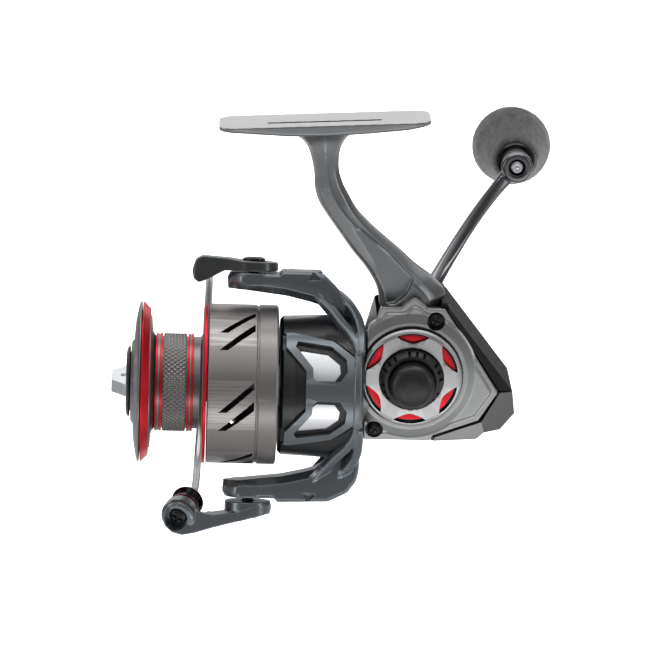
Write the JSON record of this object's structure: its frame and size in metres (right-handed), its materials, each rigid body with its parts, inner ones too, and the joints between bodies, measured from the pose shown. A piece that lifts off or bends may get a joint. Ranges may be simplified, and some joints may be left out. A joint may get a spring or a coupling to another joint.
{
  "type": "spinning fishing reel",
  "caption": "Open-face fixed-spool fishing reel: foot and stem, gear case, rotor with bail and line roller, skirted spool with drag knob, and a cranked handle with a round foam knob.",
  "frame": {"origin": "middle of the flat rod seat on top of the foot", "axes": "+Z out of the rod seat, +X towards the back of the reel, away from the spool, +Y towards the handle side"},
  "size_m": [0.1357, 0.1194, 0.1212],
  "materials": {
    "gunmetal_paint": "satin metallic gunmetal paint",
    "cover_paint": "satin metallic grey paint",
    "rotor_paint": "satin metallic blue-grey paint",
    "black_plastic": "satin black moulded plastic",
    "dark_plastic": "satin dark grey moulded plastic",
    "red_anodised": "bright red anodised",
    "spool_anodised": "warm grey anodised, fine turned",
    "bright_metal": "bright silver",
    "plain_steel": "plain turned steel",
    "light_alloy": "plain alloy",
    "gear_brass": "cut brass",
    "black_chrome": "black chrome",
    "knob_foam": "closed-cell EVA foam",
    "drag_felt": "greased felt"
  },
  "bodies": {
    "frame": {"main_body": "gunmetal_paint", "side_cover": "cover_paint", "cover_screw_top": "black_plastic", "cover_screw_front": "black_plastic", "side_plate": "cover_paint", "side_trim_disc": "red_anodised", "dust_cap_ring": "dark_plastic", "dust_cap_dome": "black_plastic", "rear_strip": "black_plastic", "rear_guard": "dark_plastic", "drive_bearing_near": "plain_steel", "drive_bearing_far": "plain_steel", "pinion_bearing": "plain_steel", "anti_reverse_clutch": "plain_steel", "clutch_retainer": "light_alloy", "slider_guide_rod": "plain_steel"},
    "crank": {"drive_gear": "gear_brass", "handle_shaft": "plain_steel", "handle_collar": "bright_metal", "handle_arm": "black_chrome", "knob_pin": "bright_metal"},
    "knob": {"knob_grip": "knob_foam", "knob_end_cap": "dark_plastic"},
    "oscillator": {"oscillation_gear": "plain_steel"},
    "rotor": {"rotor_frame": "rotor_paint", "rotor_panel_near": "rotor_paint", "rotor_liner_near": "bright_metal", "rotor_panel_far": "rotor_paint", "rotor_liner_far": "bright_metal", "arm_cover_top": "rotor_paint", "arm_cover_bottom": "rotor_paint", "bail_spring": "plain_steel", "bail_trip_lever": "dark_plastic", "pinion_gear": "gear_brass", "rotor_nut": "plain_steel"},
    "bail": {"bail_arm": "rotor_paint", "bail_pivot_screw_bottom": "black_chrome", "bail_holder": "rotor_paint", "bail_pivot_screw_top": "black_chrome", "bail_wire": "black_chrome", "roller_screw": "plain_steel"},
    "roller": {"line_roller": "black_chrome"},
    "shaft": {"main_shaft": "plain_steel", "slider_block": "light_alloy", "slider_screw": "plain_steel", "click_gear": "dark_plastic"},
    "spool": {"spool": "spool_anodised", "spool_lip_ring": "red_anodised", "arbor_ring_front": "red_anodised", "arbor_grip_band": "spool_anodised", "arbor_ring_rear": "red_anodised", "skirt_ring": "red_anodised", "spool_skirt": "spool_anodised", "drag_washer_felt_rear": "drag_felt", "drag_washer_metal": "plain_steel", "drag_washer_felt_front": "drag_felt", "drag_retainer_clip": "plain_steel"},
    "drag": {"drag_knob": "black_plastic", "drag_bar": "bright_metal", "drag_spring": "plain_steel"}
  },
  "joints": [
    {"name": "crank_turn", "type": "hinge", "parent": "frame", "child": "crank", "pos_m": [0.02296, 0, -0.07474], "axis": [0, 1, 0], "continuous": true},
    {"name": "rotor_spin", "type": "hinge", "parent": "frame", "child": "rotor", "pos_m": [-0.00615, 0, -0.08072], "axis": [0.9982, 0, -0.0593], "continuous": true},
    {"name": "oscillation_gear_turn", "type": "hinge", "parent": "frame", "child": "oscillator", "pos_m": [0.03537, 0, -0.08339], "axis": [0, 1, 0], "continuous": true},
    {"name": "spool_slide", "type": "slide", "parent": "frame", "child": "shaft", "axis": [0.9982, 0, -0.0593], "range_m": [0, 0.012]},
    {"name": "spool_turn", "type": "hinge", "parent": "shaft", "child": "spool", "pos_m": [-0.04608, 0, -0.07835], "axis": [0.9982, 0, -0.0593], "continuous": true},
    {"name": "drag_knob_turn", "type": "hinge", "parent": "shaft", "child": "drag", "pos_m": [-0.06005, 0, -0.07752], "axis": [0.9982, 0, -0.0593], "continuous": true},
    {"name": "bail_flip", "type": "hinge", "parent": "rotor", "child": "bail", "pos_m": [-0.02372, 0, -0.07968], "axis": [0.0575, 0.2419, 0.9686], "range_deg": [0, 110]},
    {"name": "line_roller_spin", "type": "hinge", "parent": "bail", "child": "roller", "pos_m": [-0.04402, -0.00766, -0.11395], "axis": [0.2782, 0.9532, 0.1181], "continuous": true},
    {"name": "knob_spin", "type": "hinge", "parent": "crank", "child": "knob", "pos_m": [0.05907, 0.078, -0.03155], "axis": [0, 1, 0], "continuous": true}
  ],
  "couplings": [
    {"joint": "rotor_spin", "follows": "crank_turn", "ratio": -6.2},
    {"joint": "oscillation_gear_turn", "follows": "crank_turn", "ratio": -0.63636}
  ]
}
